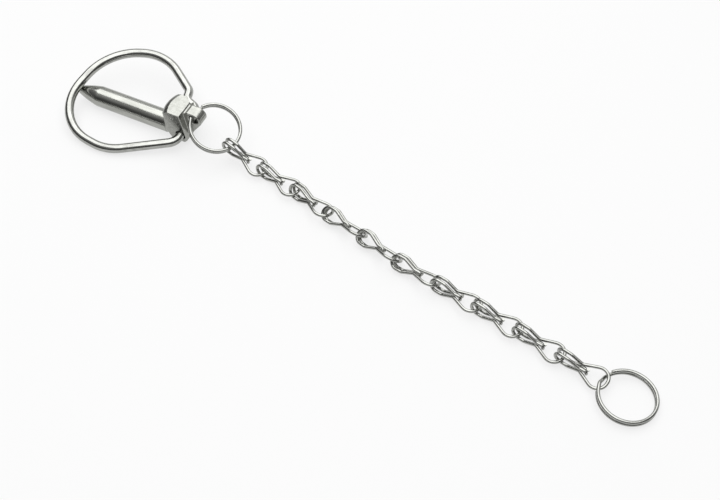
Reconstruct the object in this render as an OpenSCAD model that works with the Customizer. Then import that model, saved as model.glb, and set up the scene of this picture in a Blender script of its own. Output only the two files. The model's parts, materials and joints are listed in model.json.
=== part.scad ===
// Lynch pin with a spring bail and a chain of ten knotted wire links.
// It lies on the floor: +X runs along the pin from tip to head, +Z is up,
// and the origin is on the shaft axis where the shaft leaves the head.

/* [Pin] */
// Shaft diameter
shaft_d = 11; // [8:0.5:14]
// Shaft length from the head to the tip
shaft_l = 56.3; // [45:0.1:70]
// Length of the tapered tip
taper_l = 13; // [6:0.5:20]
// Diameter of the blunt end of the tip
tip_d = 3.8; // [2:0.1:7]
// How far the taper swells beyond a straight cone
tip_swell = 0.35; // [0:0.05:0.8]
// How much thinner the shaft's root is, all round
root_relief = 0.3; // [0.1:0.05:0.8]
// Turn of the pin about its own axis as it lies
pin_roll = 4; // [0:0.5:12]

/* [Head] */
// Length of the head along the pin, at its top
head_top_l = 11.7; // [8:0.1:14]
// Length of the head at its foot, where the rear face slopes out
head_foot_l = 13.7; // [9:0.1:16]
// Width of the head across the cross hole
head_w = 13.8; // [11:0.1:18]
// Top of the head above the shaft axis
head_rise = 16.4; // [12:0.1:22]
// Foot of the head below the shaft axis
head_drop = 2.8; // [1:0.1:6]
// Radius of the rounded front, seen from above
front_r = 15.7; // [11:0.1:40]
// How far the front stands back from the end of the full shaft
front_relief = 0.3; // [0.1:0.05:1]
// Cross hole that holds the bail
cross_hole_d = 5.6; // [5.2:0.1:7]
// Cross hole from the front of the head
cross_hole_x = 10.2; // [5:0.05:10]
// Cross hole above the shaft axis
cross_hole_z = 2.8; // [0:0.1:5]
// Tilt of the cross hole, which rises to the far side
cross_hole_lean = 9.5; // [0:0.5:14]

/* [Lug] */
// Lug thickness
lug_t = 6.4; // [4:0.1:10]
// Lug hole diameter
lug_hole_d = 5.2; // [4:0.1:6.5]
// Lug hole from the front of the head
lug_hole_x = 17.41; // [12:0.1:22]
// Lug hole above the shaft axis
lug_hole_z = 12.8; // [8:0.1:18]
// Rear end of the lug from the front of the head
lug_l = 21.8; // [16:0.1:28]
// Radius of the rounded lug end
lug_r = 4.2; // [3.4:0.1:6]

/* [Bail] */
// Bail wire diameter
bail_wire = 4.7; // [3.5:0.1:5.2]
// First corner on the near side, out from the middle of the head
near_neck = 11.3; // [9:0.1:18]
// First corner on the far side
far_neck = 10.5; // [9:0.1:18]
// Corner of the far leg beside the head, back from the pivot and out to the side
far_heel = [7.6, 13.2]; // [5:0.1:20]
// Knee of the far leg, where it comes into sight past the head
far_knee = [8.8, 18.6]; // [5:0.1:30]
// Near shoulder, back from the pivot and out to the side
near_shoulder = [31.2, 29.8]; // [20:0.1:45]
// Far shoulder
far_shoulder = [31.7, 34.2]; // [20:0.1:45]
// Near corner at the tip end
near_corner = [69.4, 25.3]; // [15:0.1:75]
// Far corner at the tip end
far_corner = [61.6, 23.5]; // [15:0.1:75]
// Bend radii on the near side, from the head to the tip
near_bends = [7, 23.8, 25.6]; // [5:0.1:40]
// Bend radii on the far side, from the head to the tip
far_bends = [4, 4, 4.5, 25.4, 29.6]; // [3:0.1:40]
// Gap between the two wire ends inside the head
bail_gap = 3; // [1:0.5:6]
// Lift of the bail, whose far side rests on the tapered tip
bail_swing = 2; // [0:0.1:10]

/* [Rings] */
// Ring radius at the wire centre
ring_r = 12.8; // [10:0.1:16]
// Ring wire diameter
ring_wire = 1.7; // [1.2:0.1:2.2]
// Free gap between the two turns
turn_gap = 0.06; // [0.02:0.02:0.2]
// Angle over which the wire steps from one turn to the other
ring_step = 44; // [25:1:60]
// Lug hole centre to ring centre
ring_hang = 11.45; // [10:0.1:13]
// Lug hole centre to the plane of the ring
ring_off = 0.44; // [0:0.1:1.2]
// Slope of the ring in the lug, away from the pin
ring_slope = 22.39; // [0:1:60]
// Cant of the ring in the lug, across the pin
ring_cant = 11.31; // [-20:1:20]
// Where the first link hangs, round the ring from its lowest point
ring_exit = 16.16; // [0:1:40]
// Angle of the step in the pin ring, hidden in the lug
pin_ring_step_at = 160.1; // [0:1:360]
// End ring radius at the wire centre
end_ring_r = 13; // [10:0.1:16]
// End ring, its centre from the wire at the end of the chain, along the pin
end_ring_x = 10.21; // [6:0.1:14]
// End ring, its centre from the end of the chain, across the pin
end_ring_y = -2.08; // [-12:0.1:12]
// Height of the end ring's centre above the floor
end_ring_height = 2.9; // [1:0.1:8]
// Slope of the end ring, falling away from the chain
end_ring_slope = 4.67; // [-10:0.5:20]
// Cant of the end ring, across the chain
end_ring_cant = -1.48; // [-15:0.5:15]
// Angle of the step in the end ring, where the last link crosses it
end_ring_step_at = 157.04; // [0:1:360]

/* [Links] */
// Link wire diameter
link_wire = 1.6; // [1.2:0.1:2]
// Eye centre to the wire at the wide end
link_reach = 22.2; // [18:0.1:28]
// Half height of the eyes, wire centre
eye_r = 3.4; // [2.4:0.1:3.6]
// Straight length of the eyes before they close
eye_straight = 3; // [0:0.1:4]
// Half spacing of the two eyes
eye_side = 1.4; // [1:0.05:2]
// Neck of the knot from the eye centre
neck_x = 9; // [7:0.1:12]
// Half spacing of the wires in the neck
neck_z = 0.85; // [0.82:0.01:1.2]
// Reach of the hooked wire ends
tail_x = 12.3; // [10:0.1:15]
// Half width corner of the wide end
loop_corner = 7.6; // [6:0.1:9]
// Bend radius of the wide end
loop_bend = 4.6; // [3:0.1:6]

/* [Lie of the chain] */
// Heading of each link, degrees from the pin's own line
heading = [-8.5, -13.6, -16.4, -14.8, -17, -10.3, -9.5, -11, -11.5, -12]; // [-30:0.1:30]
// Roll of each link, degrees, the near edge rising
roll = [-5, 1.8, 19.8, 44.8, 44.5, 31.6, 11.2, 2.9, 0, -9.5]; // [-90:1:90]
// Play at the eyes of each link, along the chain
play = [0.9, 0.18, 0.03, -0.13, -0.07, -0.14, -0.16, -0.04, -0.11, -0.1]; // [-1.4:0.1:2]
// Height of the eyes of each link above the floor
eye_height = [9.04, 4.38, 4.57, 4.32, 4.34, 4.55, 4.59, 4.42, 4.36, 4.5]; // [3.5:0.1:20]
// Height of each link's wide end above the floor
loop_height = [3.06, 3.64, 3.99, 4.79, 4.89, 4.35, 3.59, 3.2, 3.11, 3.68]; // [0.8:0.1:20]

/* [Hidden] */
round_fn = 72;
wire_fn = 24;
last = len(heading) - 1;
floor_z = -shaft_d / 2;
steel = [0.78, 0.79, 0.8];
bright = [0.88, 0.89, 0.9];

// Each straight of a bent wire laps a little over the bends beside it
joint_lap = 0.06;
joint_skin = 0.02;

// Cuts at the top and the foot of the front
top_cut_x = 2.4;
top_cut_z = 1.7;
foot_cut_x = 4.8;
foot_cut_z = 8.9;
corner_cut = 3.2;

// Small round punch mark in the near face, and a nick on top of the shaft
mark_d = 1.4;
mark_depth = 0.3;
mark_x = 6.8;
mark_z = 12.7;
nick_x = -27.3;
nick_r = 1.5;
nick_depth = 0.15;

// The taper is turned in short steps
taper_steps = 6;
taper_at = shaft_l - taper_l;

turn_rise = (ring_wire + turn_gap) / 2;
pivot = turn_x(pin_roll, [cross_hole_x, 0, cross_hole_z]);
hang = turn_x(pin_roll, [lug_hole_x, 0, lug_hole_z]);
pin_ring_at = hang + in_ring([ring_hang, 0, ring_off]);
places = lay(0, pin_ring_at + ring_r * in_ring([cos(ring_exit), -sin(ring_exit), 0]));
end_ring_at = [
    places[last][1].x + end_ring_x,
    places[last][1].y + end_ring_y,
    floor_z + end_ring_height
];

function unit(v) = v / norm(v);
function turn_x(a, p) = [p.x, p.y * cos(a) - p.z * sin(a), p.y * sin(a) + p.z * cos(a)];
function turn_y(a, p) = [p.x * cos(a) + p.z * sin(a), p.y, p.z * cos(a) - p.x * sin(a)];

// Direction in the pin ring's own frame, as it lies
function in_ring(p) = turn_y(ring_slope, turn_x(ring_cant, p));

// Eye centre of link k, hooked on the wire at hook
function eye_from(hook, k) = [
    hook.x - play[k] * cos(heading[k]),
    hook.y - play[k] * sin(heading[k]),
    floor_z + eye_height[k]
];

// Wire at the wide end of link k, whose eyes are centred on eye
function loop_from(eye, k) =
    let (climb = asin((floor_z + loop_height[k] - eye.z) / link_reach))
    eye + link_reach * [
        cos(climb) * cos(heading[k]),
        cos(climb) * sin(heading[k]),
        sin(climb)
    ];

// Eye centre and wide end of every link from k on
function lay(k, hook) =
    let (eye = eye_from(hook, k))
    let (loop = loop_from(eye, k))
    k == last ? [[eye, loop]] : concat([[eye, loop]], lay(k + 1, loop));

// Radius of the taper at the fraction t of its length
function taper_r(t) =
    shaft_d / 2 * (1 - t) + tip_d / 2 * t + 4 * tip_swell * t * (1 - t);

// Length that a bend of radius r takes from each side of corner b
function taken(a, b, c, r) = r * tan(acos(unit(b - a) * unit(c - b)) / 2);

// Moves its children so that their x, y and z run along the given axes
module in_frame(at, ax, ay, az) {
    multmatrix([
        [ax.x, ay.x, az.x, at.x],
        [ax.y, ay.y, az.y, at.y],
        [ax.z, ay.z, az.z, at.z]
    ]) children();
}

// Straight wire from p to q
module strut(p, q, d) {
    az = unit(q - p);
    side = abs(az.z) < 0.9 ? [0, 0, 1] : [1, 0, 0];
    ax = unit(cross(side, az));
    in_frame(p, ax, cross(az, ax), az)
        cylinder(d = d, h = norm(q - p), $fn = wire_fn);
}

// Bent wire that rounds corner b on its way from a to c
module bend(a, b, c, r, d) {
    way_in = unit(b - a);
    way_out = unit(c - b);
    up = unit(cross(way_in, way_out));
    from = b - way_in * taken(a, b, c, r);
    centre = from + r * cross(up, way_in);
    in_frame(centre, cross(way_in, up), way_in, up)
        rotate_extrude(angle = acos(way_in * way_out), $fn = 4 * wire_fn)
            translate([r, 0])
                circle(d = d, $fn = wire_fn);
}

// Round wire through a list of corners, with one bend radius for each inner corner.
// lead makes both ends longer.
module bent_wire(corners, bends, d, lead = 0) {
    n = len(corners) - 1;
    cut = [
        for (i = [0 : n])
            i == 0 || i == n ? 0 : taken(corners[i - 1], corners[i], corners[i + 1], bends[i - 1])
    ];
    for (i = [0 : n - 1]) {
        way = unit(corners[i + 1] - corners[i]);
        start = i == 0 ? -lead : cut[i] - joint_lap;
        stop = i == n - 1 ? -lead : cut[i + 1] - joint_lap;
        strut(corners[i] + way * start, corners[i + 1] - way * stop, d + joint_skin);
    }
    for (i = [1 : n - 1])
        bend(corners[i - 1], corners[i], corners[i + 1], bends[i - 1], d);
}

// Turned shaft with a tapered tip. A slightly thinner root runs into the head.
module shaft() {
    rooted = 3.5;
    root_r = shaft_d / 2 - root_relief;
    rotate([0, -90, 0])
        rotate_extrude($fn = round_fn)
            polygon(concat(
                [[0, -rooted], [root_r, -rooted], [root_r, 0], [shaft_d / 2, 0]],
                [
                    for (i = [0 : taper_steps])
                        [taper_r(i / taper_steps), taper_at + taper_l * i / taper_steps]
                ],
                [[0, shaft_l]]
            ));
}

// Side view of the head block, with the rear face leaning out to its foot
module head_side() {
    foot = -head_drop;
    polygon([
        [front_relief, foot + foot_cut_z],
        [foot_cut_x, foot],
        [head_foot_l - 1.5, foot],
        [head_foot_l, foot + 1.5],
        [head_top_l, head_rise],
        [top_cut_x, head_rise],
        [front_relief, head_rise - top_cut_z]
    ]);
}

// Side view of the lug: a rounded end that runs back into the head
module lug_side() {
    middle = lug_l - lug_r;
    under = 62;
    translate([middle, head_rise - lug_r])
        circle(r = lug_r, $fn = round_fn);
    polygon([
        [head_top_l - 2, head_rise],
        [middle, head_rise],
        [middle + lug_r * sin(under), head_rise - lug_r - lug_r * cos(under)],
        [head_foot_l - 0.3, -0.3],
        [head_top_l - 2, -0.3]
    ]);
}

module slab(t) {
    translate([0, t / 2, 0])
        rotate([90, 0, 0])
            linear_extrude(t)
                children();
}

module head() {
    difference() {
        intersection() {
            slab(head_w) head_side();
            // Front, rounded from side to side
            translate([front_relief + front_r, 0, -head_rise])
                cylinder(r = front_r, h = 3 * head_rise, $fn = 2 * round_fn);
        }
        // Rear corner on the far side
        translate([head_top_l, head_w / 2, head_rise])
            rotate([0, 0, 45])
                rotate([0, 35, 0])
                    cube([corner_cut, 4 * corner_cut, 4 * corner_cut], center = true);
        // Punch mark
        translate([mark_x, -head_w / 2 + mark_depth, mark_z])
            rotate([90, 0, 0])
                cylinder(d = mark_d, h = 2, $fn = wire_fn);
    }
}

module cross_bore(x, z, d, lean = 0) {
    translate([x, 0, z])
        rotate([90 + lean, 0, 0])
            cylinder(d = d, h = 2 * head_w, center = true, $fn = round_fn);
}

module pin() {
    color(steel)
        rotate([pin_roll, 0, 0])
            difference() {
                union() {
                    shaft();
                    head();
                    slab(lug_t) lug_side();
                }
                cross_bore(cross_hole_x, cross_hole_z, cross_hole_d, cross_hole_lean);
                cross_bore(lug_hole_x, lug_hole_z, lug_hole_d);
                translate([nick_x, 0, shaft_d / 2 + nick_r - nick_depth])
                    sphere(r = nick_r, $fn = wire_fn);
            }
}

// Spring bail: both ends stand in the head's cross hole
module bail() {
    near = [
        [0, -bail_gap / 2, 0],
        [0, -near_neck, 0],
        [-near_shoulder[0], -near_shoulder[1], 0],
        [-near_corner[0], -near_corner[1], 0]
    ];
    far = [
        [-far_corner[0], far_corner[1], 0],
        [-far_shoulder[0], far_shoulder[1], 0],
        [-far_knee[0], far_knee[1], 0],
        [-far_heel[0], far_heel[1], 0],
        [0, far_neck, 0],
        [0, bail_gap / 2, 0]
    ];
    color(bright)
        translate(pivot)
            rotate([pin_roll + cross_hole_lean, 0, 0])
                rotate([0, bail_swing, 0])
                    bent_wire(
                        concat(near, far),
                        concat(near_bends, [for (i = [4 : -1 : 0]) far_bends[i]]),
                        bail_wire
                    );
}

// Sector of one turn of a ring
module turn(r, from, to) {
    rotate([0, 0, from])
        rotate_extrude(angle = to - from, $fn = 4 * wire_fn)
            translate([r, 0])
                circle(d = ring_wire, $fn = wire_fn);
}

// Two-turn ring, whose wire climbs from the lower turn to the upper one
module ring(r, at_angle) {
    ease = 2.6;
    bend_r = 2.4;
    end_gap = 5;
    start = [r, 0, -turn_rise];
    stop = [r * cos(ring_step), r * sin(ring_step), turn_rise];
    rotate([0, 0, at_angle]) {
        translate([0, 0, -turn_rise]) turn(r, ring_step + end_gap, 360);
        translate([0, 0, turn_rise]) turn(r, ring_step, 360 - end_gap);
        bent_wire(
            [
                start,
                start + ease * [0, 1, 0],
                stop - ease * [-sin(ring_step), cos(ring_step), 0],
                stop
            ],
            [bend_r, bend_r],
            ring_wire,
            joint_lap
        );
    }
}

module pin_ring() {
    color(bright)
        translate(pin_ring_at)
            rotate([ring_cant, ring_slope, 0])
                ring(ring_r, pin_ring_step_at);
}

module end_ring() {
    color(bright)
        translate(end_ring_at)
            rotate([end_ring_cant, end_ring_slope, heading[last]])
                ring(end_ring_r, end_ring_step_at);
}

// One link along +X: two eyes, a knotted neck and a wide end, in one wire.
// The second half is the first turned half round the X axis.
module link() {
    tuck = 1;
    loop_dip = 0.3;
    half = [
        [tail_x, -neck_z, -tuck],
        [tail_x, -neck_z, neck_z],
        [neck_x, -(neck_z + eye_side) / 2, neck_z],
        [eye_straight, -eye_side, eye_r],
        [-eye_r, -eye_side, eye_r],
        [-eye_r, -eye_side, -eye_r],
        [eye_straight, -eye_side, -eye_r],
        [neck_x, -eye_side, -neck_z],
        [link_reach, -loop_corner, -loop_dip]
    ];
    bends = [1.2, 2.6, eye_r, eye_r, eye_r, eye_r, 2.6, loop_bend];
    m = len(half) - 1;
    other = [for (i = [m : -1 : 0]) [half[i].x, -half[i].y, -half[i].z]];
    bent_wire(
        concat(half, other),
        concat(bends, [for (i = [m - 1 : -1 : 0]) bends[i]]),
        link_wire
    );
}

// Link k laid in the chain
module link_at(k) {
    eye = places[k][0];
    climb = asin((places[k][1].z - eye.z) / link_reach);
    color(bright)
        translate(eye)
            rotate([-roll[k], -climb, heading[k]])
                link();
}

pin();
bail();
pin_ring();
link_at(0);  // link_01
link_at(1);  // link_02
link_at(2);  // link_03
link_at(3);  // link_04
link_at(4);  // link_05
link_at(5);  // link_06
link_at(6);  // link_07
link_at(7);  // link_08
link_at(8);  // link_09
link_at(9);  // link_10
end_ring();
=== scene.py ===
import json
from math import asin, cos, degrees, pi, radians, sin

import bmesh
import bpy
from mathutils import Matrix, Vector


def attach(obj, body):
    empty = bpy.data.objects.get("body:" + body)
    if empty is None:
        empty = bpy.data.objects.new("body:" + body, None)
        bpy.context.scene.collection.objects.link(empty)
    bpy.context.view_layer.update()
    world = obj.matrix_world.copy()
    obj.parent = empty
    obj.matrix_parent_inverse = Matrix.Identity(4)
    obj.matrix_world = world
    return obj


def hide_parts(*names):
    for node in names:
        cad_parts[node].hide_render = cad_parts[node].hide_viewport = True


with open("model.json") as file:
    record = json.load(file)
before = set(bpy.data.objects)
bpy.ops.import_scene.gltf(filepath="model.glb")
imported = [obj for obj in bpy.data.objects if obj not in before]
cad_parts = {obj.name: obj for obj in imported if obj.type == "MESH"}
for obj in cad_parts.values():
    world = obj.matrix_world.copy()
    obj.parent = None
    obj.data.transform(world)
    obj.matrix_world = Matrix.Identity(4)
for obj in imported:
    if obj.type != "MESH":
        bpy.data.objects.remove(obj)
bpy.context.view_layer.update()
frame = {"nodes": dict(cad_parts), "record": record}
print("frame loaded:", len(frame["nodes"]), "pieces")

mm = 0.001
floorZ = -5.5  # the shaft's lowest line, in mm, where the floor lies


# small helpers
def rgb(hexColour):
    # sRGB hex to linear
    out = []
    for i in (0, 2, 4):
        c = int(hexColour[i:i + 2], 16) / 255
        out.append(c / 12.92 if c <= 0.04045 else ((c + 0.055) / 1.055) ** 2.4)
    return (*out, 1)


def addNode(tree, kind, settings=None, inputs=None, links=None):
    # settings: node properties, inputs: socket values, links: socket -> (node, output)
    node = tree.nodes.new(kind)
    for key, value in (settings or {}).items():
        setattr(node, key, value)
    for key, value in (inputs or {}).items():
        node.inputs[key].default_value = value
    for key, (source, output) in (links or {}).items():
        tree.links.new(source.outputs[output], node.inputs[key])
    return node


def turned(x=0, y=0, z=0):
    # turn about X, then Y, then Z, in degrees
    aboutX = Matrix.Rotation(radians(x), 3, "X")
    aboutY = Matrix.Rotation(radians(y), 3, "Y")
    return Matrix.Rotation(radians(z), 3, "Z") @ aboutY @ aboutX


def placed(points, at, turn):
    return [at + turn @ Vector(p) for p in points]


def addObject(name, data):
    made = bpy.data.objects.new(name, data)
    bpy.context.scene.collection.objects.link(made)
    return made


def plainMesh(holder):
    # what the object's modifiers make, as a mesh of its own
    bpy.context.view_layer.update()
    evaluated = holder.evaluated_get(bpy.context.evaluated_depsgraph_get())
    return bpy.data.meshes.new_from_object(evaluated)


# materials
plating = {
    "zinc": "ABACA7",              # bright zinc on the turned shaft
    "zincDull": "9A9B96",          # dull streaks in it
    "zincGloss": (0.14, 0.25),     # roughness of the shaft, from bright to dull
    "skin": "A2A39E",              # zinc on the head, a softer grey than on the shaft
    "skinDull": "949590",          # darker patches in it, placed at random
    "skinGloss": (0.18, 0.3),
    "cloudMm": 2.0,                # width of the cloudy patches on the pin
    "cloudStretch": 6.0,           # how much longer than wide a patch is on the turned shaft
    "glossMm": 1.2,                # width of the brighter and duller spots
    "grainMm": 0.35,               # grain of the forging skin
    "grainCoarser": 3,             # the grain is drawn this much coarser, so that it shows
    "grainDeep": (0.2, 0.00002),   # strength of the grain, and its depth in metres
    "spring": "A9AAA6",            # zinc on the spring wire
    "springGloss": (0.07, 0.14),
    "nickel": "A8A9A5",            # nickel on rings and links
    "nickelGloss": (0.06, 0.13),
    "grime": "55534F",             # dull film in the drawing lines
    "grimeMm": 3.2,                # size of the patches where that film has stayed
    "grimeShare": 0.5,             # how much of the wire's colour it takes there
    "dieLinesAround": 26.0,        # lines round the wire, fewer than real so that they show
    "dieLineMm": 14.0,             # how long such a line runs
    "dieLineDeep": (0.25, 0.00003),
}
noiseMiddle = (0.34, 0.66)         # the part of a noise's range that the patches use


def cloudy(tree, place, scale, low, high, detail=3.0):
    # soft patches between a low and a high value, over the coordinates in place
    noise = addNode(tree, "ShaderNodeTexNoise", None,
                    {"Scale": scale, "Detail": detail, "Roughness": 0.55}, {"Vector": place})
    return addNode(tree, "ShaderNodeMapRange", {"clamp": True},
                   {"From Min": noiseMiddle[0], "From Max": noiseMiddle[1],
                    "To Min": low, "To Max": high}, {"Value": (noise, "Fac")})


def emptyMaterial(name):
    material = bpy.data.materials.new(name)
    material.use_nodes = True
    material.node_tree.nodes.clear()
    return material, material.node_tree


def finishMetal(tree, colour, gloss, bump):
    shader = addNode(tree, "ShaderNodeBsdfPrincipled", None, {"Metallic": 1.0},
                     {"Base Color": colour, "Roughness": gloss, "Normal": bump})
    addNode(tree, "ShaderNodeOutputMaterial", None, None, {"Surface": (shader, "BSDF")})


def makeZinc(name, colour, dull, stretch, gloss):
    # steel under bright zinc: cloudy gloss and a faint orange peel
    material, tree = emptyMaterial(name)
    p = plating
    where = addNode(tree, "ShaderNodeTexCoord")
    along = addNode(tree, "ShaderNodeMapping", None, {"Scale": (1 / stretch, 1, 1)},
                    {"Vector": (where, "Object")})
    cloud = cloudy(tree, (along, "Vector"), 1 / (p["cloudMm"] * mm), 0.0, 1.0)
    tint = addNode(tree, "ShaderNodeMix", {"data_type": "RGBA"},
                   {"A": rgb(colour), "B": rgb(dull)}, {"Factor": (cloud, "Result")})
    shine = cloudy(tree, (along, "Vector"), 1 / (p["glossMm"] * mm), *gloss)
    grainScale = 1 / (p["grainMm"] * p["grainCoarser"] * mm)
    grain = addNode(tree, "ShaderNodeTexNoise", None,
                    {"Scale": grainScale, "Detail": 4.0, "Roughness": 0.6},
                    {"Vector": (where, "Object")})
    bump = addNode(tree, "ShaderNodeBump", None,
                   {"Strength": p["grainDeep"][0], "Distance": p["grainDeep"][1]},
                   {"Height": (grain, "Fac")})
    finishMetal(tree, (tint, "Result"), (shine, "Result"), (bump, "Normal"))
    return material


def makeDrawnWire(name, colour, gloss):
    # cold drawn wire, plated: fine die lines run along it and darken in places
    material, tree = emptyMaterial(name)
    p = plating
    onWire = addNode(tree, "ShaderNodeUVMap", {"uv_map": "wireUv"})
    along = addNode(tree, "ShaderNodeMapping", None,
                    {"Scale": (1 / (p["dieLineMm"] * mm), p["dieLinesAround"], 1)},
                    {"Vector": (onWire, "UV")})
    lines = cloudy(tree, (along, "Vector"), 1.0, 0.0, 1.0, detail=2.0)
    where = addNode(tree, "ShaderNodeTexCoord")
    film = cloudy(tree, (where, "Object"), 1 / (p["grimeMm"] * mm), 0.0, p["grimeShare"])
    dark = addNode(tree, "ShaderNodeMath", {"operation": "MULTIPLY"}, None,
                   {0: (lines, "Result"), 1: (film, "Result")})
    tint = addNode(tree, "ShaderNodeMix", {"data_type": "RGBA"},
                   {"A": rgb(colour), "B": rgb(p["grime"])}, {"Factor": (dark, "Value")})
    shine = addNode(tree, "ShaderNodeMapRange", None, {"To Min": gloss[0], "To Max": gloss[1]},
                    {"Value": (lines, "Result")})
    bump = addNode(tree, "ShaderNodeBump", None,
                   {"Strength": p["dieLineDeep"][0], "Distance": p["dieLineDeep"][1]},
                   {"Height": (lines, "Result")})
    finishMetal(tree, (tint, "Result"), (shine, "Result"), (bump, "Normal"))
    return material


forgedZinc = makeZinc("forgedSteelBrightZinc", plating["skin"], plating["skinDull"],
                      1, plating["skinGloss"])
turnedZinc = makeZinc("turnedSteelBrightZinc", plating["zinc"], plating["zincDull"],
                      plating["cloudStretch"], plating["zincGloss"])
springWire = makeDrawnWire("springSteelWireZinc", plating["spring"], plating["springGloss"])
brightWire = makeDrawnWire("steelWireNickel", plating["nickel"], plating["nickelGloss"])
print("materials made")


# wire that follows a path
def makeWireTree():
    # corners with a "bendRadius" become a round wire
    tree = bpy.data.node_groups.new("bentWire", "GeometryNodeTree")
    face = tree.interface
    for label, kind in (("Corners", "Geometry"), ("Wire Diameter", "Float"),
                        ("Bend Steps", "Int"), ("Sides", "Int"), ("Finish", "Material")):
        face.new_socket(label, in_out="INPUT", socket_type="NodeSocket" + kind)
    face.new_socket("Wire", in_out="OUTPUT", socket_type="NodeSocketGeometry")
    start = addNode(tree, "NodeGroupInput")
    # the path, rounded at its corners
    line = addNode(tree, "GeometryNodeMeshToCurve", None, None, {"Mesh": (start, "Corners")})
    radius = addNode(tree, "GeometryNodeInputNamedAttribute", {"data_type": "FLOAT"},
                     {"Name": "bendRadius"})
    bent = addNode(tree, "GeometryNodeFilletCurve", {"mode": "POLY"}, {"Limit Radius": True},
                   {"Curve": (line, "Curve"), "Count": (start, "Bend Steps"),
                    "Radius": (radius, "Attribute")})
    alongLine = addNode(tree, "GeometryNodeSplineParameter")
    keepLength = addNode(tree, "GeometryNodeCaptureAttribute", {"domain": "POINT"}, None,
                         {"Geometry": (bent, "Curve")})
    keepLength.capture_items.new("FLOAT", "Length")
    tree.links.new(alongLine.outputs["Length"], keepLength.inputs["Length"])
    # the round section
    half = addNode(tree, "ShaderNodeMath", {"operation": "MULTIPLY"}, {1: 0.5},
                   {0: (start, "Wire Diameter")})
    circle = addNode(tree, "GeometryNodeCurvePrimitiveCircle", {"mode": "RADIUS"}, None,
                     {"Resolution": (start, "Sides"), "Radius": (half, "Value")})
    aroundLine = addNode(tree, "GeometryNodeSplineParameter")
    keepAround = addNode(tree, "GeometryNodeCaptureAttribute", {"domain": "POINT"}, None,
                         {"Geometry": (circle, "Curve")})
    keepAround.capture_items.new("FLOAT", "Around")
    tree.links.new(aroundLine.outputs["Factor"], keepAround.inputs["Around"])
    # the wire, with its length and the way round it as a UV map
    skin = addNode(tree, "GeometryNodeCurveToMesh", None, {"Fill Caps": True},
                   {"Curve": (keepLength, "Geometry"), "Profile Curve": (keepAround, "Geometry")})
    pair = addNode(tree, "ShaderNodeCombineXYZ", None, None,
                   {"X": (keepLength, "Length"), "Y": (keepAround, "Around")})
    mapped = addNode(tree, "GeometryNodeStoreNamedAttribute",
                     {"data_type": "FLOAT2", "domain": "CORNER"}, {"Name": "wireUv"},
                     {"Geometry": (skin, "Mesh"), "Value": (pair, "Vector")})
    smooth = addNode(tree, "GeometryNodeSetShadeSmooth", None, None,
                     {"Geometry": (mapped, "Geometry")})
    real = addNode(tree, "GeometryNodeRealizeInstances", None, None,
                   {"Geometry": (smooth, "Geometry")})
    coated = addNode(tree, "GeometryNodeSetMaterial", None, None,
                     {"Geometry": (real, "Geometry"), "Material": (start, "Finish")})
    addNode(tree, "NodeGroupOutput", None, None, {"Wire": (coated, "Geometry")})
    return tree


wireTree = makeWireTree()
capAngle = 50  # edges sharper than this, in degrees, stay crisp: the wire's cut ends


def setInputs(modifier, values):
    for item in modifier.node_group.interface.items_tree:
        if item.item_type == "SOCKET" and item.in_out == "INPUT" and item.name in values:
            modifier[item.identifier] = values[item.name]


def bendWire(name, corners, radii, shape, finish):
    # corners in mm, one radius for each inner corner
    path = bpy.data.meshes.new(name + "Path")
    steps = [(i, i + 1) for i in range(len(corners) - 1)]
    path.from_pydata([Vector(p) * mm for p in corners], steps, [])
    radius = path.attributes.new("bendRadius", "FLOAT", "POINT")
    radius.data.foreach_set("value", [0.0] + [r * mm for r in radii] + [0.0])
    holder = addObject(name + "Path", path)
    modifier = holder.modifiers.new("bentWire", "NODES")
    modifier.node_group = wireTree
    setInputs(modifier, {"Wire Diameter": shape["wire"] * mm, "Bend Steps": shape["bendSteps"],
                         "Sides": shape["sides"], "Finish": finish})
    mesh = plainMesh(holder)
    bpy.data.objects.remove(holder)
    mesh.name = name
    mesh.set_sharp_from_angle(angle=radians(capAngle))
    return addObject(name, mesh)


def fitPiece(piece, node, body):
    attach(piece, body)
    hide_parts(node)
    print("fitted", piece.name)


bodyOf = {n: b for b, names in frame["record"]["behaviour"]["bodies"].items() for n in names}

# bail
pinLie = {
    "roll": 4,                      # the pin lies turned this much about its shaft
    "crossHole": (10.2, 0, 2.8),    # middle of the hole that holds the bail
    "lean": 9.5,                    # how far that hole leans
    "lugHole": (17.41, 0, 12.8),
}
bailShape = {
    "wire": 4.7, "bendSteps": 14, "sides": 32,
    "gap": 3,                       # between the two wire ends inside the head
    "swing": 2,                     # lift from the plane of the shaft
    "near": [(0, -11.3), (-31.2, -29.8), (-69.4, -25.3)],
    "far": [(-61.6, 23.5), (-31.7, 34.2), (-8.8, 18.6), (-7.6, 13.2), (0, 10.5)],
    "bends": [7, 23.8, 25.6, 29.6, 25.4, 4.5, 4, 4],
}


def makeBail():
    b = bailShape
    flat = [(0, -b["gap"] / 2)] + b["near"] + b["far"] + [(0, b["gap"] / 2)]
    pivot = turned(x=pinLie["roll"]) @ Vector(pinLie["crossHole"])
    turn = turned(x=pinLie["roll"] + pinLie["lean"]) @ turned(y=b["swing"])
    corners = placed([(x, y, 0) for x, y in flat], pivot, turn)
    return bendWire("bailWire", corners, b["bends"], b, springWire)


fitPiece(makeBail(), "bail", bodyOf["bail"])

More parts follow.
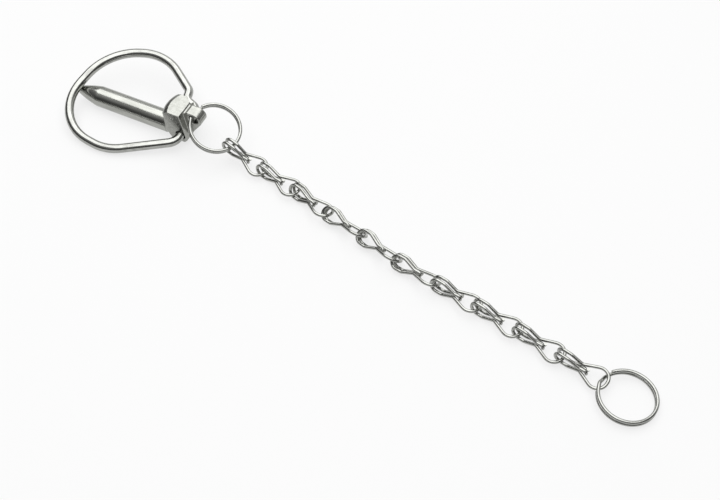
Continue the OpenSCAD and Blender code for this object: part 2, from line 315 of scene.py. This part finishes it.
# split rings
ringShape = {
    "wire": 1.7, "bendSteps": 1, "sides": 24,
    "turnGap": 0.06,                # between the two turns
    "step": 44, "endGap": 5,        # degrees taken by the step, and left free at each wire end
    "turnSteps": 72, "stepSteps": 16,
    "climb": (0.2, 0.8),            # the part of the step in which the wire changes turns
    "bulge": 0.22,                  # how far the wire stands out at both ends of the climb
}
pinRingLie = {
    "radius": 12.8, "stepAt": 160.1,
    "hang": 11.45, "off": 0.44,     # lug hole to ring centre, and to the ring's plane
    "slope": 22.39, "cant": 11.31,
    "exit": 16.16,                  # degrees from opposite the lug hole to the first link
}
endRingLie = {
    "radius": 13, "stepAt": 157.04,
    "x": 10.21, "y": -2.08,         # from the end of the chain to the ring's centre
    "height": 2.9, "slope": 4.67, "cant": -1.48,
}


def ringPath(radius, stepAt):
    # lower turn, the step up, upper turn, as (angle, radius, height)
    r = ringShape
    rise = (r["wire"] + r["turnGap"]) / 2
    sweep = 360 - r["step"] - r["endGap"]
    turn = [sweep * i / r["turnSteps"] for i in range(r["turnSteps"] + 1)]
    path = [(r["step"] + r["endGap"] + a, radius, -rise) for a in turn]
    begin, end = r["climb"]
    for i in range(1, r["stepSteps"]):
        t = i / r["stepSteps"]
        c = min(max((t - begin) / (end - begin), 0), 1)
        height = rise * (2 * c * c * (3 - 2 * c) - 1)
        path.append((360 + r["step"] * t, radius + r["bulge"] * sin(2 * pi * t) ** 2, height))
    path += [(360 + r["step"] + a, radius, rise) for a in turn]
    corners = []
    for a, out, z in path:
        around = radians(a + stepAt)
        corners.append((out * cos(around), out * sin(around), z))
    return corners


def makeRing(name, lie, at, turn):
    corners = placed(ringPath(lie["radius"], lie["stepAt"]), at, turn)
    return bendWire(name, corners, [0] * (len(corners) - 2), ringShape, brightWire)


lugHole = turned(x=pinLie["roll"]) @ Vector(pinLie["lugHole"])
pinRingTurn = turned(x=pinRingLie["cant"], y=pinRingLie["slope"])
pinRingAt = lugHole + pinRingTurn @ Vector((pinRingLie["hang"], 0, pinRingLie["off"]))
pinRing = makeRing("pinRing", pinRingLie, pinRingAt, pinRingTurn)
fitPiece(pinRing, "pin_ring", bodyOf["pin_ring"])

# links
linkShape = {
    "wire": 1.6, "bendSteps": 10, "sides": 20,
    "reach": 22.2,                  # eye centre to the wire at the wide end
    "eyeR": 3.4, "eyeStraight": 3, "eyeSide": 1.4,
    "neckX": 9, "neckZ": 0.85, "legBend": 2.6,
    "tailX": 12.3, "tuck": 1, "tailBend": 1.2,
    "loopCorner": 7.6, "loopBend": 4.6, "loopDip": 0.3,
}
chainLie = {
    "heading": [-8.5, -13.6, -16.4, -14.8, -17, -10.3, -9.5, -11, -11.5, -12],
    "roll": [-5, 1.8, 19.8, 44.8, 44.5, 31.6, 11.2, 2.9, 0, -9.5],
    "play": [0.9, 0.18, 0.03, -0.13, -0.07, -0.14, -0.16, -0.04, -0.11, -0.1],
    "eyeHeight": [9.04, 4.38, 4.57, 4.32, 4.34, 4.55, 4.59, 4.42, 4.36, 4.5],
    "loopHeight": [3.06, 3.64, 3.99, 4.79, 4.89, 4.35, 3.59, 3.2, 3.11, 3.68],
}


def linkPath():
    # half of the wire, from a hooked end round one eye and out to the wide end,
    # then the same turned half round the link's own line
    s = linkShape
    eye, side, neck = s["eyeR"], s["eyeSide"], s["neckZ"]
    half = [
        (s["tailX"], -neck, -s["tuck"]),
        (s["tailX"], -neck, neck),
        (s["neckX"], -(neck + side) / 2, neck),
        (s["eyeStraight"], -side, eye),
        (-eye, -side, eye),
        (-eye, -side, -eye),
        (s["eyeStraight"], -side, -eye),
        (s["neckX"], -side, -neck),
        (s["reach"], -s["loopCorner"], -s["loopDip"]),
    ]
    bends = [s["tailBend"], s["legBend"], eye, eye, eye, eye, s["legBend"], s["loopBend"]]
    other = [(x, -y, -z) for x, y, z in reversed(half)]
    return half + other, bends + bends[::-1]


def layLinks(hook):
    # each link hangs on the wide end of the one before it
    corners, bends = linkPath()
    reach = linkShape["reach"]
    lies = zip(chainLie["heading"], chainLie["roll"], chainLie["play"],
               chainLie["eyeHeight"], chainLie["loopHeight"])
    for k, (heading, roll, play, eyeHeight, loopHeight) in enumerate(lies, 1):
        way = radians(heading)
        eye = Vector((hook.x - play * cos(way), hook.y - play * sin(way), floorZ + eyeHeight))
        climb = degrees(asin((floorZ + loopHeight - eye.z) / reach))
        turn = turned(-roll, -climb, heading)
        laid = placed(corners, eye, turn)
        link = bendWire(f"knottedLink{k:02d}", laid, bends, linkShape, brightWire)
        node = f"link_{k:02d}"
        fitPiece(link, node, bodyOf[node])
        hook = eye + turn @ Vector((reach, 0, 0))
    return hook


exitAngle = radians(pinRingLie["exit"])
outward = Vector((cos(exitAngle), -sin(exitAngle), 0))
firstHook = pinRingAt + pinRingTurn @ (outward * pinRingLie["radius"])
lastHook = layLinks(firstHook)

endRingTurn = turned(endRingLie["cant"], endRingLie["slope"], chainLie["heading"][-1])
endRingAt = Vector((lastHook.x + endRingLie["x"], lastHook.y + endRingLie["y"],
                    floorZ + endRingLie["height"]))
endRing = makeRing("endRing", endRingLie, endRingAt, endRingTurn)
fitPiece(endRing, "end_ring", bodyOf["end_ring"])
print("wires bent:", len(chainLie["heading"]), "links, 2 rings, 1 bail")

# pin
shaftShape = {
    "d": 11, "l": 56.3, "sides": 96,
    "rootDeep": 3.55, "rootLess": 0.26,   # how far the root runs into the head, and how thin
    "rootEdge": 0.15,                     # the full shaft starts with this small bevel
    "stations": (8, 16, 24, 32),          # rings of points along the shaft
    "taperL": 13, "tipD": 3.8, "swell": 0.35, "taperSteps": 14,
    "taperEase": (1.2, 0.4, 0.02),        # two rings before the taper, and its first drop
    "tipRound": 0.35, "rimSteps": 4,
}
headShape = {
    "cutX": 0.15,                         # the CAD shaft is cut away in front of this
    "weld": 0.002, "cutWeld": 0.0005,     # points closer than this are one
    "voxel": 0.17, "smooth": 3,           # how fine the edges are, and how much they are eased
    "top": 16.4,
    "frontX": 16, "frontR": 15.75,        # axis of the rounded front, and just past its face
    "bevel": [(0, -1.85), (-1.15, -0.8), (-4.55, 0.8)],  # from that face and from the top
    "free": [(30, -40), (30, 0)], "freeTop": 8,          # below this nothing is cut
    "grooveX": 12.75, "grooveR": 1.05, "grooveLift": 0.3, "grooveHalf": 12,
    "lugX": 13.4, "lugZ": 8, "lugSmooth": 24,            # the lug is eased more
    "crisp": 60,                          # edges sharper than this stay crisp, in degrees
}


def lathe(build, profile, sides, at, turn, finish=0):
    # closed solid of revolution about its own Z, from (radius, height) pairs in mm
    rings = []
    for radius, height in profile:
        ring = []
        for i in range(sides):
            a = 2 * pi * i / sides
            point = Vector((radius * cos(a), radius * sin(a), height))
            ring.append(build.verts.new((at + turn @ point) * mm))
        rings.append(ring)
    for low, high in zip(rings, rings[1:]):
        for i in range(sides):
            j = (i + 1) % sides
            build.faces.new((low[i], low[j], high[j], high[i])).material_index = finish
    for ring in (rings[0], rings[-1]):
        build.faces.new(ring).material_index = finish


def shaftProfile():
    # radius and distance from the head, in mm; the tip's rim and the taper's start are eased
    s = shaftShape
    full, tip = s["d"] / 2, s["tipD"] / 2
    start = s["l"] - s["taperL"]
    early, late, drop = s["taperEase"]
    root = full - s["rootLess"]
    profile = [(root, -s["rootDeep"]), (root, 0), (full, s["rootEdge"])]
    profile += [(full, x) for x in (*s["stations"], start - early, start - late)]
    profile.append((full - drop, start))
    for i in range(1, s["taperSteps"] + 1):
        t = i / s["taperSteps"]
        radius = full * (1 - t) + tip * t + 4 * s["swell"] * t * (1 - t)
        short = s["tipRound"] if i == s["taperSteps"] else 0
        profile.append((radius, start + s["taperL"] * t - short))
    for i in range(1, s["rimSteps"] + 1):
        q = radians(90 * i / s["rimSteps"])
        inward = s["tipRound"] * (1 - cos(q))
        profile.append((tip - inward, s["l"] - s["tipRound"] * (1 - sin(q))))
    return profile


def makeTool(name, profile, sides, at, turn):
    build = bmesh.new()
    lathe(build, profile, sides, at, turn)
    bmesh.ops.recalc_face_normals(build, faces=build.faces)
    mesh = bpy.data.meshes.new(name)
    build.to_mesh(mesh)
    build.free()
    return addObject(name, mesh)


def headTools():
    # a bevel that follows the rounded front, and the groove between block and lug
    h = headShape
    lie = turned(x=pinLie["roll"])
    bevel = [(h["frontR"] + out, h["top"] + up) for out, up in h["bevel"]]
    front = makeTool("frontEnvelope", h["free"] + [(h["frontR"], h["freeTop"])] + bevel, 192,
                     lie @ Vector((h["frontX"], 0, 0)), lie)
    groove = makeTool("lugGroove", [(h["grooveR"], z) for z in (-h["grooveHalf"], h["grooveHalf"])],
                      48, lie @ Vector((h["grooveX"], 0, h["top"] + h["grooveLift"])),
                      lie @ turned(x=90))
    return (("INTERSECT", front), ("DIFFERENCE", groove))


def cutHead():
    # the CAD head without its shaft, closed where the shaft left it
    h = headShape
    source = frame["nodes"]["pin"].data.copy()
    build = bmesh.new()
    build.from_mesh(source)
    bmesh.ops.remove_doubles(build, verts=build.verts, dist=h["weld"] * mm)
    cut = bmesh.ops.bisect_plane(build, geom=build.verts[:] + build.edges[:] + build.faces[:],
                                 dist=h["cutWeld"] * mm, plane_co=(h["cutX"] * mm, 0, 0),
                                 plane_no=(-1, 0, 0), clear_outer=True)
    rim = [e for e in cut["geom_cut"] if isinstance(e, bmesh.types.BMEdge)]
    bmesh.ops.holes_fill(build, edges=rim, sides=0)
    build.to_mesh(source)
    build.free()
    source.materials.clear()
    return source


def makeHead():
    # the forged block and its lug, with every edge eased as a forging's are
    holder = addObject("headSource", cutHead())
    tools = headTools()
    for operation, tool in tools:
        cutter = holder.modifiers.new(tool.name, "BOOLEAN")
        cutter.operation = operation
        cutter.object = tool
        cutter.solver = "EXACT"
    remesh = holder.modifiers.new("skin", "REMESH")
    remesh.mode = "VOXEL"
    remesh.voxel_size = headShape["voxel"] * mm
    ease = holder.modifiers.new("ease", "SMOOTH")
    ease.factor = 0.5
    ease.iterations = headShape["smooth"]
    mesh = plainMesh(holder)
    for made in (holder, *(tool for operation, tool in tools)):
        bpy.data.objects.remove(made)
    return mesh


def makePin():
    h = headShape
    build = bmesh.new()
    build.from_mesh(makeHead())
    lug = [v for v in build.verts if v.co.x > h["lugX"] * mm and v.co.z > h["lugZ"] * mm]
    for i in range(h["lugSmooth"]):
        bmesh.ops.smooth_vert(build, verts=lug, factor=0.5,
                              use_axis_x=True, use_axis_y=True, use_axis_z=True)
    # the shaft's own Z runs from the head to the tip
    lathe(build, shaftProfile(), shaftShape["sides"], Vector(), turned(y=-90), finish=1)
    bmesh.ops.recalc_face_normals(build, faces=build.faces)
    mesh = bpy.data.meshes.new("forgedPin")
    build.to_mesh(mesh)
    build.free()
    for polygon in mesh.polygons:
        polygon.use_smooth = True
    mesh.set_sharp_from_angle(angle=radians(h["crisp"]))
    mesh.materials.append(forgedZinc)
    mesh.materials.append(turnedZinc)
    return addObject("forgedPin", mesh)


fitPiece(makePin(), "pin", bodyOf["pin"])
print("pin forged")

# studio
studio = {
    "floorHalf": 3.0, "floorColour": "767676",
    "glow": 0.735,                    # the floor's own light, for the camera and reflections
    "skyTop": 0.55, "skyRim": 0.09,   # strength overhead, and near the horizon
    "skyFrom": 0.3,                   # height at which it starts to brighten
    "farSide": 0.85, "farFrom": (0.35, 0.95),   # a paler wall on the side past the object
    "boxPower": 15.5, "boxSize": (1.3, 1.8),
    "boxAt": (0.0, 0.1, 0.95), "boxAim": (0.12, -0.02, 0),
    "lens": 60, "sensor": 36, "clip": (0.01, 20),
    "cameraAt": (0.2839, -0.3551, 0.4396), "cameraLook": (-0.279, 0.567, -0.775),
}


def makeFloor():
    # white paper that takes the object's shadow
    half, z = studio["floorHalf"], floorZ * mm
    mesh = bpy.data.meshes.new("floor")
    corners = [(-half, -half, z), (half, -half, z), (half, half, z), (-half, half, z)]
    mesh.from_pydata(corners, [], [(0, 1, 2, 3)])
    material, tree = emptyMaterial("whitePaper")
    paper = addNode(tree, "ShaderNodeBsdfDiffuse", None, {"Color": rgb(studio["floorColour"])})
    ray = addNode(tree, "ShaderNodeLightPath")
    seen = addNode(tree, "ShaderNodeMath", {"operation": "MAXIMUM"}, None,
                   {0: (ray, "Is Camera Ray"), 1: (ray, "Is Glossy Ray")})
    strength = addNode(tree, "ShaderNodeMath", {"operation": "MULTIPLY"}, {1: studio["glow"]},
                       {0: (seen, "Value")})
    glow = addNode(tree, "ShaderNodeEmission", None, None, {"Strength": (strength, "Value")})
    both = addNode(tree, "ShaderNodeAddShader", None, None,
                   {0: (paper, "BSDF"), 1: (glow, "Emission")})
    addNode(tree, "ShaderNodeOutputMaterial", None, None, {"Surface": (both, "Shader")})
    mesh.materials.append(material)
    floor = addObject("floor", mesh)


def makeSky():
    # soft tent: pale overhead and on the far side, darker towards the near horizon
    world = bpy.data.worlds.new("softTent")
    world.use_nodes = True
    tree = world.node_tree
    tree.nodes.clear()
    where = addNode(tree, "ShaderNodeTexCoord")
    split = addNode(tree, "ShaderNodeSeparateXYZ", None, None, {"Vector": (where, "Generated")})
    grade = addNode(tree, "ShaderNodeMapRange", {"interpolation_type": "SMOOTHSTEP"},
                    {"From Min": studio["skyFrom"], "From Max": 1.0,
                     "To Min": studio["skyRim"], "To Max": studio["skyTop"]},
                    {"Value": (split, "Z")})
    far = addNode(tree, "ShaderNodeMapRange", {"interpolation_type": "SMOOTHSTEP"},
                  {"From Min": studio["farFrom"][0], "From Max": studio["farFrom"][1],
                   "To Max": studio["farSide"]}, {"Value": (split, "Y")})
    total = addNode(tree, "ShaderNodeMath", {"operation": "ADD"}, None,
                    {0: (grade, "Result"), 1: (far, "Result")})
    back = addNode(tree, "ShaderNodeBackground", None, {"Color": (1, 1, 1, 1)},
                   {"Strength": (total, "Value")})
    addNode(tree, "ShaderNodeOutputWorld", None, None, {"Surface": (back, "Background")})
    bpy.context.scene.world = world


def lookAlong(direction):
    return Vector(direction).to_track_quat("-Z", "Y").to_euler()


def makeLamp():
    lamp = bpy.data.lights.new("softBox", "AREA")
    lamp.shape = "RECTANGLE"
    lamp.size, lamp.size_y = studio["boxSize"]
    lamp.energy = studio["boxPower"]
    box = addObject("softBox", lamp)
    box.location = studio["boxAt"]
    box.rotation_euler = lookAlong(Vector(studio["boxAim"]) - box.location)


def makeCamera():
    # looks 51 degrees down
    data = bpy.data.cameras.new("camera")
    data.lens, data.sensor_width = studio["lens"], studio["sensor"]
    data.clip_start, data.clip_end = studio["clip"]
    camera = addObject("camera", data)
    camera.location = studio["cameraAt"]
    camera.rotation_euler = lookAlong(studio["cameraLook"])
    bpy.context.scene.camera = camera


makeFloor()
makeSky()
makeLamp()
makeCamera()
bpy.context.scene.view_settings.view_transform = "Standard"
print("studio set")
